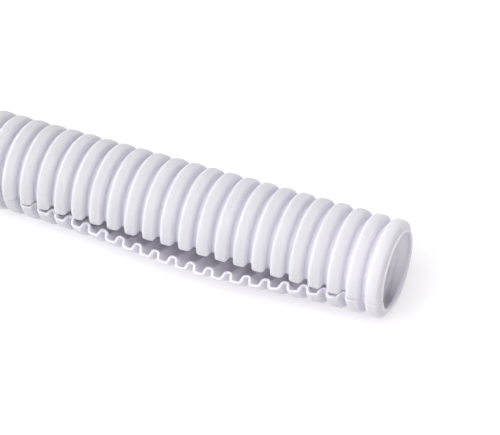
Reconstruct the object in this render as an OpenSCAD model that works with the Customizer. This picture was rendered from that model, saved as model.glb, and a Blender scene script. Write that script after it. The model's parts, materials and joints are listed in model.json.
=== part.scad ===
// Split corrugated conduit: one straight length of thin-walled plastic loom tube, slit along its
// whole length. Towards one end the lower lip of the slit is bent open, as cables leaving there bend it.
// The tube lies on a level floor along X, with its near end at +X and its slit facing -Y.

/* [Tube] */
// Outer diameter over the crests
outer_d = 21.2; // [20.4:0.1:22.6]
// Clear bore inside the valleys
bore_d = 16.8; // [16:0.1:17.4]
// Thickness of the plastic
wall = 0.5; // [0.4:0.05:0.6]
// Number of corrugations along the tube
waves = 72; // [30:1:90]

/* [Corrugation] */
// Distance from one crest to the next
pitch = 4.25; // [4:0.05:4.6]
// Outer rounding of the crest shoulders
crest_round = 0.8; // [0.7:0.05:0.9]
// Outer rounding at the foot of each flank
foot_round = 0.3; // [0.2:0.05:0.4]
// Outer flat at the bottom of each valley
valley_flat = 0.5; // [0.3:0.1:0.7]
// Lean of the flanks away from square
flank_lean = 12; // [8:1:16]

/* [Slit] */
// Width of the slit where it is closed
slit_w = 0.3; // [0.2:0.05:0.6]
// Dip of the slit below level
slit_dip = 2; // [0:1:6]

/* [Gape] */
// Widest opening of the lower lip
gape_w = 4.6; // [2:0.1:4.9]
// Corrugations from the near end to the widest opening
gape_at = 9.5; // [9:0.5:12]
// Corrugations over which the opening dies away towards the near end
gape_near = 8; // [6:0.5:8]
// Corrugations over which the opening dies away towards the far end
gape_far = 12; // [8:0.5:14]

/* [Hidden] */
$fn = 96;

outer_r = outer_d / 2;
bore_r = bore_d / 2;
valley_r = bore_r + wall;
mid_r = (outer_r + bore_r) / 2;
length = waves * pitch;

// Angles about the tube's axis. The back arc runs from straight down, over the back and the top, to
// the slit's upper lip, and the lip arc runs from straight down, along the front, to its lower lip.
slit_half = asin(slit_w / 2 / outer_r);
back_arc = 270 + slit_dip - slit_half;
lip_arc = 90 - slit_dip - slit_half;

// Rounds a size to a hundredth of a millimetre, so that pieces that meet share their corners.
function tidy(v) = round(v * 100) / 100;
function flipped(list) = [for (i = [len(list) - 1 : -1 : 0]) list[i]];

// Half a corrugation as [distance from the crest's middle, radius]: a shoulder bend, the straight
// flank and a foot bend. inset is 0 on the outer surface and the wall's thickness on the inner one.
bend_sum = crest_round + foot_round;
foot_x = (pitch - valley_flat) / 2;
crest_x = foot_x - (bend_sum + sin(flank_lean) * (outer_r - valley_r - bend_sum)) / cos(flank_lean);
bend_steps = 3;
bend_angles = [for (i = [0 : bend_steps]) 90 + (flank_lean - 90) * i / bend_steps];
function half_wave(inset) = concat(
    [for (a = bend_angles) [
        crest_x + (crest_round - inset) * cos(a),
        outer_r - crest_round + (crest_round - inset) * sin(a)]],
    [for (a = flipped(bend_angles)) [
        foot_x - (foot_round + inset) * cos(a),
        valley_r + foot_round - (foot_round + inset) * sin(a)]]);

// The half corrugation in two runs, which meet on a plane half way down the flank.
cut_x = tidy((crest_x + foot_x + (crest_round - foot_round - wall) * cos(flank_lean)) / 2);
cut_margin = 0.05;
function cut_point(inset) = [cut_x, tidy(lookup(cut_x, half_wave(inset)))];
function crest_run(inset) = [
    for (p = half_wave(inset)) if (p[0] < cut_x - cut_margin) [tidy(p[0]), tidy(p[1])],
    cut_point(inset)];
function foot_run(inset) = [
    for (p = half_wave(inset)) if (p[0] > cut_x + cut_margin) [tidy(p[0]), tidy(p[1])]];

// The runs in place on crest i, as [radius, position along X]. Crest 0 is the one at the near end.
function crest_at(i) = length / 2 - (i + 0.5) * pitch;
function near_side(i, run) = [for (p = flipped(run)) [p[1], crest_at(i) + p[0]]];
function far_side(i, run) = [for (p = run) [p[1], crest_at(i) - p[0]]];
function crest_line(i, inset) =
    concat(near_side(i, crest_run(inset)), far_side(i, crest_run(inset)));
function valley_line(i, inset) =
    concat(far_side(i - 1, foot_run(inset)), near_side(i, foot_run(inset)));

// Longer stretches: from crest a to crest b, and to each of the tube's two cut ends.
function stretch(a, b, inset) = [for (i = [a : b])
    each concat(i > a ? valley_line(i, inset) : [], crest_line(i, inset))];
function near_stretch(b, inset) =
    concat([[valley_r - inset, length / 2]], near_side(0, foot_run(inset)), stretch(0, b, inset));
function far_stretch(a, inset) = concat(
    stretch(a, waves - 1, inset), far_side(waves - 1, foot_run(inset)),
    [[valley_r - inset, -length / 2]]);
function valley_slice(i, inset) = concat(
    far_side(i - 1, [cut_point(inset)]), valley_line(i, inset), near_side(i, [cut_point(inset)]));

// First and last crest of the stretch that gapes.
gape_first = floor(gape_at - gape_near - 0.5) + 1;
gape_last = ceil(gape_at + gape_far - 0.5) - 1;

// Opening of the lip at a place counted in corrugations from the near end: a bell with smooth feet.
function opening(w) = gape_w * pow(cos(90 * (w - gape_at) / (w < gape_at ? gape_near : gape_far)), 2);

// A lip that loses a share of its curvature moves its edge by that share of 4 r (1 - cos(arc / 2)).
function straightening(w) = opening(w) / (4 * mid_r * (1 - cos(lip_arc / 2)));
function growth(w) = tidy(mid_r * straightening(w) / (1 - straightening(w)));

// Turns a wall section about the tube's axis, from one angle towards the back.
module turned(outer_line, inner_line, from, arc)
    rotate([0, 90, 0])
        rotate_extrude(start = from, angle = arc)
            polygon(concat(outer_line, flipped(inner_line)));

// The whole wall with a closed slit.
module closed_wall(outer_line, inner_line)
    translate([0, 0, outer_r])
        turned(outer_line, inner_line, -lip_arc, lip_arc + back_arc);

// The back, top and upper lip beside the gape.
module back_wall(outer_line, inner_line)
    translate([0, 0, outer_r])
        turned(outer_line, inner_line, 0, back_arc);

// The lower lip, bent to a larger radius that starts level at the underside.
module bent_lip(outer_line, inner_line, wider)
    translate([0, 0, outer_r + wider])
        mirror([0, 1, 0])
            turned(
                [for (p = outer_line) [p[0] + wider, p[1]]],
                [for (p = inner_line) [p[0] + wider, p[1]]],
                0, lip_arc * mid_r / (mid_r + wider));

module conduit()
    color("white") {
        closed_wall(near_stretch(gape_first - 1, 0), near_stretch(gape_first - 1, wall));
        closed_wall(far_stretch(gape_last + 1, 0), far_stretch(gape_last + 1, wall));
        back_wall(
            concat(valley_slice(gape_first, 0), stretch(gape_first, gape_last, 0),
                valley_slice(gape_last + 1, 0)),
            concat(valley_slice(gape_first, wall), stretch(gape_first, gape_last, wall),
                valley_slice(gape_last + 1, wall)));
        for (i = [gape_first : gape_last])
            bent_lip(crest_line(i, 0), crest_line(i, wall), growth(i + 0.5));
        for (i = [gape_first : gape_last + 1])
            bent_lip(valley_slice(i, 0), valley_slice(i, wall), growth(i));
    }

conduit();
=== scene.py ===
"""Split corrugated conduit: one straight length of thin-walled loom tube, dressed for its portrait.

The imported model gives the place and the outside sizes. Here the wall is made again as one smooth skin,
with finely rounded corrugations, eased cut edges and a lower lip that opens and closes in one sweep.
All lengths are in metres and all positions are in the model's own frame: the tube lies along X on a
level floor, with its near end at +X and its slit facing -Y.
"""
import json
import logging
import math
from dataclasses import dataclass, field
from enum import Enum
from typing import Any

import bpy
import numpy as np
from mathutils import Matrix, Vector


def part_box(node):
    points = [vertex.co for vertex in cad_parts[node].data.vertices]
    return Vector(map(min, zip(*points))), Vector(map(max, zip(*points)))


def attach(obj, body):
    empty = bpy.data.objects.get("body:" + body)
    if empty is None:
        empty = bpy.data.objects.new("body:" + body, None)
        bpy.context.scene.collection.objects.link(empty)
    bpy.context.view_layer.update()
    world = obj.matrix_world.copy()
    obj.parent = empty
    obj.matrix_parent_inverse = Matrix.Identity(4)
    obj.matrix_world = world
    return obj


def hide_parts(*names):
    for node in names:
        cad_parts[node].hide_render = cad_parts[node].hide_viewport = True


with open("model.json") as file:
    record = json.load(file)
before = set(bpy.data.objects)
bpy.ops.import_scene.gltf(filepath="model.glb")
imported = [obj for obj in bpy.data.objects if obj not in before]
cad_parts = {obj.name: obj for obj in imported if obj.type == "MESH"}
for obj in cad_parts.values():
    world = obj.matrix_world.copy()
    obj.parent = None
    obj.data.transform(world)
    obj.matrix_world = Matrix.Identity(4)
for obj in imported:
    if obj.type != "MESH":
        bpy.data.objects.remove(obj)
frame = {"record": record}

log = logging.getLogger("conduit")

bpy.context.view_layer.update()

MILLIMETRES_PER_METRE = 1e3
CUBIC_CENTIMETRES_PER_CUBIC_METRE = 1e6


# ---------------------------------------------------------------------------------------------------
# Plain helpers
# ---------------------------------------------------------------------------------------------------


def linear(red: float, green: float, blue: float) -> tuple[float, float, float, float]:
    """Turns a display colour into the linear colour that shaders take.

    Formula: each channel c becomes ((c + 0.055) / 1.055) ** 2.4, or c / 12.92 where it is very dark.

    Args:
        red: Display red, 0 to 1.
        green: Display green, 0 to 1.
        blue: Display blue, 0 to 1.

    Returns:
        Linear red, green, blue and an alpha of 1.
    """
    channels = np.array([red, green, blue])
    out = np.where(channels <= 0.04045, channels / 12.92, ((channels + 0.055) / 1.055) ** 2.4)
    return (float(out[0]), float(out[1]), float(out[2]), 1.0)


def mesh_object(name: str, points: np.ndarray, quads: np.ndarray) -> bpy.types.Object:
    """Puts whole arrays into a new mesh object that stands at the origin.

    Args:
        name: Name of the object and of its mesh.
        points: Vertex positions, one row of x, y, z each.
        quads: Vertex numbers of the four-cornered faces, one row each, counter-clockwise from outside.

    Returns:
        The new object, linked to the scene.
    """
    mesh = bpy.data.meshes.new(name)
    mesh.vertices.add(len(points))
    mesh.vertices.foreach_set("co", points.astype(np.float32).ravel())
    mesh.loops.add(quads.size)
    mesh.loops.foreach_set("vertex_index", quads.astype(np.int32).ravel())
    mesh.polygons.add(len(quads))
    mesh.polygons.foreach_set("loop_start", np.arange(0, quads.size, 4, dtype=np.int32))
    mesh.update(calc_edges=True)
    mesh.validate()
    thing = bpy.data.objects.new(name, mesh)
    bpy.context.scene.collection.objects.link(thing)
    return thing


def signed_volume(points: np.ndarray, quads: np.ndarray) -> float:
    """Measures what a closed mesh holds: the sum, over its triangles, of a . (b x c) / 6.

    Args:
        points: Vertex positions.
        quads: Vertex numbers of the faces.

    Returns:
        The volume, above zero where the faces look outward.
    """
    triangles = np.concatenate([quads[:, [0, 1, 2]], quads[:, [0, 2, 3]]])
    a, b, c = (points[triangles[:, k]] for k in range(3))
    return float(np.einsum("ij,ij->i", a, np.cross(b, c)).sum() / 6.0)


def seen_directly(tree: bpy.types.NodeTree) -> bpy.types.NodeSocket:
    """Adds a switch for what is seen straight, in a gloss or through glass.

    Formula: the largest of Light Path's camera, glossy and transmission rays, each 0 or 1.

    Args:
        tree: Node tree of a material or of the world.

    Returns:
        The socket that is 1 for those rays and 0 for the rays that light things.
    """
    rays = tree.nodes.new("ShaderNodeLightPath").outputs
    seen = rays["Is Camera Ray"]
    for name in ("Is Glossy Ray", "Is Transmission Ray"):
        either = tree.nodes.new("ShaderNodeMath")
        either.operation = "MAXIMUM"
        tree.links.new(seen, either.inputs[0])
        tree.links.new(rays[name], either.inputs[1])
        seen = either.outputs[0]
    return seen


# ---------------------------------------------------------------------------------------------------
# The tube's shape
# ---------------------------------------------------------------------------------------------------


class Skin(Enum):
    """The two faces of the wall, by how deep they lie in it."""

    OUTER = 0.0
    INNER = 1.0


@dataclass(frozen=True)
class Corrugation:
    """One wave of the wall, as it repeats along the tube."""

    crest_radius: float
    valley_radius: float
    pitch: float
    wall: float
    shoulder_round: float = 0.0008
    foot_round: float = 0.0003
    valley_flat: float = 0.0005
    flank_lean: float = math.radians(12.0)
    shoulder_points: int = 4
    foot_points: int = 3

    def centres(self) -> tuple[float, float]:
        """Finds where the two bends of a flank have their centres.

        Formula: the foot's centre is half a pitch less half the valley's flat from the crest's middle.
        The flank is the straight line that touches both bends, so the shoulder's centre lies back from
        there by (both radii + sin(lean) * the height between the centres) / cos(lean).

        Returns:
            Distances of the shoulder's and of the foot's centre from the crest's middle.
        """
        foot = (self.pitch - self.valley_flat) / 2.0
        both = self.shoulder_round + self.foot_round
        rise = self.crest_radius - self.valley_radius - both
        return foot - (both + math.sin(self.flank_lean) * rise) / math.cos(self.flank_lean), foot

    def half(self, skin: Skin) -> np.ndarray:
        """Draws half a wave from the crest's middle outwards.

        Formula: each bend is an arc, centre + radius * (cos a, sin a), for a from straight out to the
        flank's own direction on the shoulder and back again on the foot. The inner skin has the wall
        taken off the shoulder's radius and added to the foot's.

        Args:
            skin: Which face of the wall to draw.

        Returns:
            Rows of distance along the axis from the crest's middle, and radius.
        """
        inset = skin.value * self.wall
        shoulder_x, foot_x = self.centres()
        down = np.linspace(math.pi / 2.0, self.flank_lean, self.shoulder_points)
        back = np.linspace(self.flank_lean, math.pi / 2.0, self.foot_points)
        high = self.shoulder_round - inset
        low = self.foot_round + inset
        shoulder = np.stack([
            shoulder_x + high * np.cos(down),
            self.crest_radius - self.shoulder_round + high * np.sin(down)], axis=1)
        foot = np.stack([
            foot_x - low * np.cos(back),
            self.valley_radius + self.foot_round - low * np.sin(back)], axis=1)
        return np.concatenate([shoulder, foot])

    def run(self, skin: Skin, waves: int) -> np.ndarray:
        """Lays the waves one after another from the far end to the near end.

        Formula: a whole wave is the half wave mirrored, then the half wave; wave i is that, moved along
        by (i + 1/2 - waves / 2) pitches.

        Args:
            skin: Which face of the wall to draw.
            waves: How many waves the tube has.

        Returns:
            Rows of position along the axis, measured from the tube's middle, and radius.
        """
        half = self.half(skin)
        whole = np.concatenate([half[::-1] * [-1.0, 1.0], half])
        starts = (np.arange(waves) + 0.5 - waves / 2.0) * self.pitch
        run = np.repeat(whole[None, :, :], waves, axis=0)
        run[:, :, 0] += starts[:, None]
        return run.reshape(-1, 2)


@dataclass(frozen=True)
class Gape:
    """The stretch near one end where leaving cables have bent the lower lip open.

    The widest opening is in metres. Its place is counted in corrugations from the near end, and near
    and far are how many corrugations lie from there to where the gape dies away on each side.
    """

    widest: float = 0.0036
    place: float = 9.5
    near: float = 9.5
    far: float = 12.0

    def opening(self, count: np.ndarray) -> np.ndarray:
        """Gives the lip's opening along the tube.

        Formula: the widest opening times the squared cosine of a quarter turn times the way from the
        widest place to where the gape dies away, and nothing beyond.

        Args:
            count: Places along the tube, in corrugations from the near end.

        Returns:
            How far the lip's edge has moved at each place.
        """
        way = (count - self.place) / np.where(count < self.place, self.near, self.far)
        bell = np.cos(np.clip(way, -1.0, 1.0) * math.pi / 2.0) ** 2
        return self.widest * bell

    def widening(self, count: np.ndarray, radius: float, arc: float) -> np.ndarray:
        """Gives how much larger the lip's bend radius is than the closed tube's.

        Formula: a lip that loses the share s of its curvature moves its edge by about
        s * 4 * radius * (1 - cos(arc / 2)), and its radius grows by radius * s / (1 - s).

        Args:
            count: Places along the tube, in corrugations from the near end.
            radius: The closed tube's radius at the middle of the wall's waves.
            arc: Angle of the lip from the underside to its edge.

        Returns:
            The growth of the radius at each place.
        """
        share = self.opening(count) / (4.0 * radius * (1.0 - math.cos(arc / 2.0)))
        return radius * share / (1.0 - share)


@dataclass(frozen=True)
class Polyethylene:
    """Satin white polyethylene: pale, faintly milky, with a moulded skin that is never quite even."""

    name: str = "satin_white_polyethylene"
    display_colour: tuple[float, float, float] = (0.951, 0.942, 0.995)
    shade_colour: tuple[float, float, float] = (0.934, 0.923, 0.976)
    roughness_low: float = 0.50
    roughness_high: float = 0.64
    mottle_size: float = 0.011
    grain_size: float = 0.00045
    grain_height: float = 0.000012
    ripple_size: float = 0.0034
    ripple_height: float = 0.00006
    milk: float = 1.0
    milk_depth: float = 0.0036
    milk_spread: tuple[float, float, float] = (1.0, 0.97, 0.97)
    ior: float = 1.5
    noise_roughness: float = 0.55
    noise_range: tuple[float, float] = (0.3, 0.7)
    mottle_detail: float = 3.0
    satin_detail: float = 4.0
    ripple_detail: float = 1.0
    grain_detail: float = 2.0

    def noise(
            self, tree: bpy.types.NodeTree, coords: bpy.types.NodeSocket, size: float,
            detail: float) -> bpy.types.NodeSocket:
        """Adds a noise of a given grain to the tree.

        Args:
            tree: The material's node tree.
            coords: Socket that gives the coordinates.
            size: Width of one grain of the noise in metres.
            detail: How many finer layers the noise has.

        Returns:
            The socket with the noise's height, 0 to 1.
        """
        node = tree.nodes.new("ShaderNodeTexNoise")
        node.inputs["Scale"].default_value = 1.0 / size
        node.inputs["Detail"].default_value = detail
        node.inputs["Roughness"].default_value = self.noise_roughness
        tree.links.new(coords, node.inputs["Vector"])
        return node.outputs["Fac"]

    def span(
            self, tree: bpy.types.NodeTree, value: bpy.types.NodeSocket, low: float,
            high: float) -> bpy.types.NodeSocket:
        """Stretches the noise's usual range to a range of its own.

        Args:
            tree: The material's node tree.
            value: Socket with the noise.
            low: Result at the low end of the noise.
            high: Result at the high end of the noise.

        Returns:
            The socket with the stretched value.
        """
        node = tree.nodes.new("ShaderNodeMapRange")
        node.inputs["From Min"].default_value = self.noise_range[0]
        node.inputs["From Max"].default_value = self.noise_range[1]
        node.inputs["To Min"].default_value = low
        node.inputs["To Max"].default_value = high
        tree.links.new(value, node.inputs["Value"])
        return node.outputs["Result"]

    def bump(
            self, tree: bpy.types.NodeTree, height: bpy.types.NodeSocket, depth: float,
            normal: bpy.types.NodeSocket | None = None) -> bpy.types.NodeSocket:
        """Adds a bump layer on top of another.

        Args:
            tree: The material's node tree.
            height: Socket with the height, 0 to 1.
            depth: Height in metres that 1 stands for.
            normal: Socket with the normal beneath, or None for the surface's own.

        Returns:
            The socket with the new normal.
        """
        node = tree.nodes.new("ShaderNodeBump")
        node.inputs["Strength"].default_value = 1.0
        node.inputs["Distance"].default_value = depth
        tree.links.new(height, node.inputs["Height"])
        if normal is not None:
            tree.links.new(normal, node.inputs["Normal"])
        return node.outputs["Normal"]

    def material(self) -> bpy.types.Material:
        """Builds the finish from nodes on the object's own coordinates.

        Formula: the colour goes between two near whites with a slow mottle, the roughness follows a
        second noise, and the bump is a slow ripple of the moulded skin with a fine grain on it.

        Returns:
            The finished material.
        """
        finish = bpy.data.materials.new(self.name)
        finish.use_nodes = True
        tree = finish.node_tree
        shader = tree.nodes["Principled BSDF"]
        coords = tree.nodes.new("ShaderNodeTexCoord").outputs["Object"]

        mottle = self.noise(tree, coords, self.mottle_size, self.mottle_detail)
        mix = tree.nodes.new("ShaderNodeMix")
        mix.data_type = "RGBA"
        mix.inputs["A"].default_value = linear(*self.display_colour)
        mix.inputs["B"].default_value = linear(*self.shade_colour)
        tree.links.new(self.span(tree, mottle, 0.0, 1.0), mix.inputs["Factor"])
        tree.links.new(mix.outputs["Result"], shader.inputs["Base Color"])

        satin = self.noise(tree, coords, self.ripple_size, self.satin_detail)
        tree.links.new(
            self.span(tree, satin, self.roughness_low, self.roughness_high), shader.inputs["Roughness"])

        waves = self.noise(tree, coords, self.ripple_size, self.ripple_detail)
        grains = self.noise(tree, coords, self.grain_size, self.grain_detail)
        rippled = self.bump(tree, waves, self.ripple_height)
        grained = self.bump(tree, grains, self.grain_height, rippled)
        tree.links.new(grained, shader.inputs["Normal"])

        shader.inputs["IOR"].default_value = self.ior
        shader.inputs["Subsurface Weight"].default_value = self.milk
        shader.inputs["Subsurface Radius"].default_value = self.milk_spread
        shader.inputs["Subsurface Scale"].default_value = self.milk_depth
        return finish


@dataclass
class Conduit:
    """The whole tube: one thin wall, wound almost all the way round and cut open along its front."""

    low: np.ndarray
    high: np.ndarray
    bore_radius: float
    waves: int = 72
    wall: float = 0.0005
    slit: float = 0.0003
    slit_dip: float = math.radians(2.0)
    eased_edge: float = 0.00007
    lip_spans: int = 12
    back_spans: int = 31
    crisp_angle: float = math.radians(41.0)
    gape: Gape = field(default_factory=Gape)
    finish: Polyethylene = field(default_factory=Polyethylene)

    def __post_init__(self) -> None:
        """Works out the sizes that follow from the model's box.

        Formula: counted from the underside, the front's level is a quarter turn away along the lip and
        three quarters over the back. The slit's middle lies below it by the dip, and each lip ends half
        a slit before that.
        """
        self.outer_radius: float = float(self.high[2] - self.low[2]) / 2.0
        self.length: float = float(self.high[0] - self.low[0])
        self.middle_x: float = float(self.high[0] + self.low[0]) / 2.0
        self.axis_y: float = float(self.high[1]) - self.outer_radius
        self.axis_z: float = float(self.low[2]) + self.outer_radius
        self.mid_radius: float = (self.outer_radius + self.bore_radius) / 2.0
        half_slit = math.asin(self.slit / 2.0 / self.outer_radius)
        self.back_arc: float = math.radians(270.0) + self.slit_dip - half_slit
        self.lip_arc: float = math.radians(90.0) - self.slit_dip - half_slit
        self.wave: Corrugation = Corrugation(
            crest_radius=self.outer_radius, valley_radius=self.bore_radius + self.wall,
            pitch=self.length / self.waves, wall=self.wall)

    def stations(self) -> tuple[np.ndarray, np.ndarray]:
        """Gives the wall's outer and inner line along the tube, with eased rims at both cut ends.

        Formula: the corrugated run, and at each end the valley's line carried to the cut less the eased
        edge, then a last point on the cut itself, moved into the wall by the eased edge.

        Returns:
            The outer and the inner line, rows of position along the axis and radius.
        """
        reach = self.length / 2.0
        ease = self.eased_edge
        lines = []
        for skin, into in ((Skin.OUTER, -1.0), (Skin.INNER, 1.0)):
            run = self.wave.run(skin, self.waves)
            radius = run[0, 1]
            far = [[-reach, radius + into * ease], [-reach + ease, radius]]
            near = [[reach - ease, radius], [reach, radius + into * ease]]
            lines.append(np.concatenate([far, run, near]))
        return lines[0], lines[1]

    def girth(self) -> tuple[np.ndarray, np.ndarray]:
        """Gives the loop that one cut across the wall follows.

        Formula: a turn angle, 0 at the underside, negative along the lower lip and positive over the
        back, paired with a depth in the wall, 0 outside and 1 inside. The loop runs round the outside,
        over the upper lip's cut, back along the inside and over the lower lip's cut. Near the cuts the
        outside and the inside stop short by the eased edge.

        Returns:
            The turn angles and the depths.
        """
        ease_turn = self.eased_edge / self.mid_radius
        ease_depth = self.eased_edge / self.wall
        lip = np.linspace(-self.lip_arc + ease_turn, 0.0, self.lip_spans + 1)
        back = np.linspace(0.0, self.back_arc - ease_turn, self.back_spans + 1)[1:]
        round_about = np.concatenate([lip, back])
        turns = np.concatenate([
            round_about, [self.back_arc, self.back_arc], round_about[::-1],
            [-self.lip_arc, -self.lip_arc]])
        depths = np.concatenate([
            np.zeros(len(round_about)), [ease_depth, 1.0 - ease_depth], np.ones(len(round_about)),
            [1.0 - ease_depth, ease_depth]])
        return turns, depths

    def place(self, along: np.ndarray, radius: np.ndarray, turn: np.ndarray) -> np.ndarray:
        """Puts points of the wall in space.

        Formula: over the back a point lies on a circle about the axis, y = radius * sin(turn) and
        z = -radius * cos(turn). On the lower lip the circle is wider by the gape's growth and touches
        the old one at the underside: its centre is higher by the growth, its radius larger by the
        growth, and the turn is smaller in the same proportion, so the lip keeps its length.

        Args:
            along: Positions along the axis, from the tube's middle.
            radius: Distances from the axis in the closed tube.
            turn: Turn angles, of the same shape.

        Returns:
            Positions, with x, y, z on the last axis.
        """
        count = (self.length / 2.0 - along) / self.wave.pitch
        growth = np.where(turn < 0.0, self.gape.widening(count, self.mid_radius, self.lip_arc), 0.0)
        angle = turn * self.mid_radius / (self.mid_radius + growth)
        y = (radius + growth) * np.sin(angle)
        z = growth - (radius + growth) * np.cos(angle)
        return np.stack([self.middle_x + along, self.axis_y + y, self.axis_z + z], axis=-1)

    def surface(self) -> tuple[np.ndarray, np.ndarray]:
        """Makes the closed skin as a grid: stations along the tube by points round the loop.

        Formula: point (i, j) is the outer line's station i moved towards the inner line's by depth j,
        turned by angle j. The grid closes on itself round the loop, and a strip of faces from the
        outer to the inner points closes each cut end. All faces look out of the plastic.

        Returns:
            The vertex positions and the faces.
        """
        outer, inner = self.stations()
        turns, depths = self.girth()
        along = outer[:, None, 0] * (1.0 - depths) + inner[:, None, 0] * depths
        radius = outer[:, None, 1] * (1.0 - depths) + inner[:, None, 1] * depths
        turn = np.broadcast_to(turns, along.shape)
        points = self.place(along, radius, turn)

        rows, columns = along.shape
        number = np.arange(rows * columns).reshape(rows, columns)
        after = np.roll(number, -1, axis=1)
        wall = np.stack([after[:-1], after[1:], number[1:], number[:-1]], axis=-1).reshape(-1, 4)

        # The loop counts its points: those outside, two on the upper cut, as many inside, two on the lower.
        per_side = self.lip_spans + self.back_spans + 1
        outside = np.arange(per_side)
        inside = (2 * per_side + 1) - outside
        strip = np.stack([outside[:-1], outside[1:], inside[1:], inside[:-1]], axis=-1)
        upper = np.array([[per_side - 1, per_side, per_side + 1, per_side + 2]])
        lower = np.array([[2 * per_side + 2, 2 * per_side + 3, 0, 2 * per_side + 1]])
        cap = np.concatenate([strip, upper, lower])
        near = number[-1][cap]
        far = number[0][cap[:, ::-1]]
        return points.reshape(-1, 3), np.concatenate([wall, near, far])

    def build(self) -> bpy.types.Object:
        """Makes the tube's object, smooth on its bends and crisp on its cuts, and dresses it.

        Returns:
            The finished object.
        """
        points, quads = self.surface()
        plastic = signed_volume(points, quads) * CUBIC_CENTIMETRES_PER_CUBIC_METRE
        log.info("the wall holds %.1f cubic centimetres of plastic", plastic)
        tube = mesh_object("conduit_wall", points, quads)
        tube.data.polygons.foreach_set("use_smooth", np.ones(len(quads), dtype=bool))
        tube.data.set_sharp_from_angle(angle=self.crisp_angle)
        tube.data.materials.append(self.finish.material())
        return tube


# ---------------------------------------------------------------------------------------------------
# The studio
# ---------------------------------------------------------------------------------------------------


@dataclass(frozen=True)
class SoftLight:
    """A soft square lamp: its bearing and height in degrees, its power, its colour and its width.

    A bearing of 0 is in front of the slit, on the -Y side, and 90 is at the near end's side, +X.
    """

    bearing: float
    height: float
    power: float
    colour: tuple[float, float, float] = (0.966, 0.97, 1.0)
    width: float = 0.7

    def way(self) -> Vector:
        """Gives the direction of the lamp as the aim sees it.

        Formula: (sin bearing * cos height, -cos bearing * cos height, sin height).

        Returns:
            The direction, one metre long.
        """
        bearing, height = math.radians(self.bearing), math.radians(self.height)
        return Vector((
            math.sin(bearing) * math.cos(height), -math.cos(bearing) * math.cos(height),
            math.sin(height)))


class Lamp(Enum):
    """The studio's lamps."""

    KEY = SoftLight(-25.0, 35.0, 4.6)
    TOP = SoftLight(0.0, 75.0, 2.8)
    HIGH_LEFT = SoftLight(-45.0, 60.0, 1.6)
    SIDE = SoftLight(-75.0, 20.0, 2.3)
    FILL = SoftLight(20.0, 20.0, 0.6, colour=(0.985, 0.96, 0.98))
    END = SoftLight(70.0, 24.0, 1.2, colour=(1.0, 0.62, 0.56), width=0.6)
    BACK = SoftLight(-160.0, 35.0, 1.0)


@dataclass(frozen=True)
class PaleFloor:
    """A plain pale floor that keeps a shadow, and looks white near the tube where nothing shades it."""

    name: str = "pale_floor"
    half_width: float = 6.0
    display_colour: tuple[float, float, float] = (0.82, 0.82, 0.82)
    glow: float = 0.38

    def material(self) -> bpy.types.Material:
        """Builds the floor's finish: a matte pale surface, with a glow that only direct looks see.

        Returns:
            The finished material.
        """
        finish = bpy.data.materials.new(self.name)
        finish.use_nodes = True
        tree = finish.node_tree
        tree.nodes.clear()
        matte = tree.nodes.new("ShaderNodeBsdfDiffuse")
        matte.inputs["Color"].default_value = linear(*self.display_colour)
        glow = tree.nodes.new("ShaderNodeEmission")
        level = tree.nodes.new("ShaderNodeMath")
        level.operation = "MULTIPLY"
        level.inputs[1].default_value = self.glow
        tree.links.new(seen_directly(tree), level.inputs[0])
        tree.links.new(level.outputs[0], glow.inputs["Strength"])
        both = tree.nodes.new("ShaderNodeAddShader")
        tree.links.new(matte.outputs[0], both.inputs[0])
        tree.links.new(glow.outputs[0], both.inputs[1])
        out = tree.nodes.new("ShaderNodeOutputMaterial")
        tree.links.new(both.outputs[0], out.inputs["Surface"])
        return finish

    def build(self, height: float) -> None:
        """Lays the floor as one large sheet.

        Formula: a grid of two by two points at plus and minus the half width.

        Args:
            height: Level of the floor.
        """
        side = np.array([-self.half_width, self.half_width])
        x, y = np.meshgrid(side, side)
        points = np.stack([x, y, np.full_like(x, height)], axis=-1).reshape(-1, 3)
        floor = mesh_object("floor", points, np.array([[0, 1, 3, 2]]))
        floor.data.materials.append(self.material())


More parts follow.
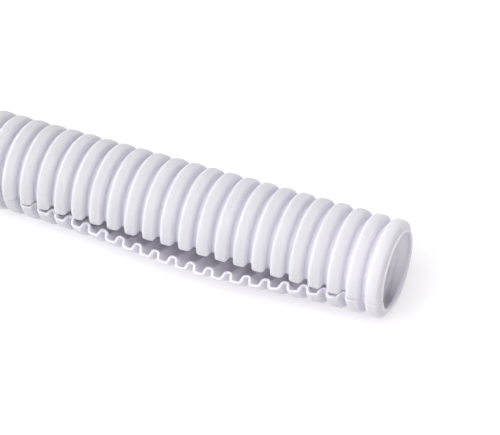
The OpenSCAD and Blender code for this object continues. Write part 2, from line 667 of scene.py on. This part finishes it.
@dataclass
class Studio:
    """Floor, lamps, surroundings and camera, all placed from the aim at the near end's centre."""

    aim: Vector
    floor_height: float
    floor: PaleFloor = field(default_factory=PaleFloor)
    lamp_distance: float = 1.1
    world_level: float = 0.64
    world_colour: tuple[float, float, float] = (0.965, 0.96, 1.0)
    white_level: float = 1.0
    camera_from_aim: tuple[float, float, float] = (0.09816, -0.25954, 0.30927)
    azimuth: float = math.radians(26.9)
    elevation: float = math.radians(46.4)
    roll: float = math.radians(-4.5)
    lens: float = 143.0
    sensor_width: float = 36.0
    nearest_seen: float = 0.01

    def lamp(self, role: Lamp) -> None:
        """Hangs one lamp at the lamps' distance from the aim, and turns it to face the aim.

        Args:
            role: Which lamp.
        """
        light = role.value
        data = bpy.data.lights.new("lamp_" + role.name.lower(), "AREA")
        data.shape = "SQUARE"
        data.size = light.width
        data.energy = light.power
        data.color = light.colour
        thing = bpy.data.objects.new(data.name, data)
        thing.location = self.aim + light.way() * self.lamp_distance
        thing.rotation_euler = light.way().to_track_quat("Z", "Y").to_euler()
        bpy.context.scene.collection.objects.link(thing)

    def surroundings(self) -> None:
        """Gives the world a soft even light, and a white look to whoever sees it directly."""
        world = bpy.data.worlds.new("surroundings")
        world.use_nodes = True
        tree = world.node_tree
        tree.nodes.clear()
        light = tree.nodes.new("ShaderNodeBackground")
        light.inputs["Color"].default_value = (*self.world_colour, 1.0)
        light.inputs["Strength"].default_value = self.world_level
        white = tree.nodes.new("ShaderNodeBackground")
        white.inputs["Color"].default_value = (1.0, 1.0, 1.0, 1.0)
        white.inputs["Strength"].default_value = self.white_level
        mix = tree.nodes.new("ShaderNodeMixShader")
        tree.links.new(seen_directly(tree), mix.inputs[0])
        tree.links.new(light.outputs[0], mix.inputs[1])
        tree.links.new(white.outputs[0], mix.inputs[2])
        out = tree.nodes.new("ShaderNodeOutputWorld")
        tree.links.new(mix.outputs[0], out.inputs["Surface"])
        bpy.context.scene.world = world

    def camera(self) -> None:
        """Sets the camera up from its angles.

        Formula: looking along (-sin a * cos e, cos a * cos e, -sin e) for azimuth a and elevation e,
        with right (cos a, sin a, 0), up at right angles to both, and both turned by the roll.
        """
        a, e, r = self.azimuth, self.elevation, self.roll
        ahead = Vector((-math.sin(a) * math.cos(e), math.cos(a) * math.cos(e), -math.sin(e)))
        right = Vector((math.cos(a), math.sin(a), 0.0))
        up = right.cross(ahead)
        turned_right = right * math.cos(r) + up * math.sin(r)
        turned_up = up * math.cos(r) - right * math.sin(r)
        place = Matrix((turned_right, turned_up, -ahead)).transposed().to_4x4()
        place.translation = self.aim + Vector(self.camera_from_aim)
        data = bpy.data.cameras.new("camera")
        data.lens = self.lens
        data.sensor_width = self.sensor_width
        data.clip_start = self.nearest_seen
        thing = bpy.data.objects.new("camera", data)
        thing.matrix_world = place
        bpy.context.scene.collection.objects.link(thing)
        bpy.context.scene.camera = thing

    def build(self) -> None:
        """Puts the whole studio up."""
        self.floor.build(self.floor_height)
        for role in Lamp:
            self.lamp(role)
        self.surroundings()
        self.camera()
        bpy.context.scene.view_settings.view_transform = "Standard"


def bore_radius(record: dict[str, Any]) -> float:
    """Reads the clear bore from the record's mounts.

    Args:
        record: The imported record.

    Returns:
        The bore's radius in metres.
    """
    for mount in record["mounts"]:
        if mount["name"] == "bore":
            return float(mount["dims"]["r_mm"]) / MILLIMETRES_PER_METRE
    raise KeyError("bore")


def main() -> None:
    """Builds the studio and the tube, and ties the tube to its model."""
    logging.basicConfig(level=logging.INFO, format="%(name)s: %(message)s")
    low, high = (np.array(corner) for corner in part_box("conduit"))

    conduit = Conduit(low=low, high=high, bore_radius=bore_radius(frame["record"]))
    near_centre = Vector((float(high[0]), conduit.axis_y, conduit.axis_z))
    Studio(aim=near_centre, floor_height=float(low[2])).build()
    log.info("studio is up")

    wall = conduit.build()
    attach(wall, "root")
    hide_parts("conduit")
    log.info(
        "conduit wall: %d waves, %.1f mm across, %.0f mm long, %d faces", conduit.waves,
        conduit.outer_radius * 2.0 * MILLIMETRES_PER_METRE, conduit.length * MILLIMETRES_PER_METRE,
        len(wall.data.polygons))

    bpy.context.view_layer.update()
    log.info("sizes written")


if __name__ == "__main__":
    main()
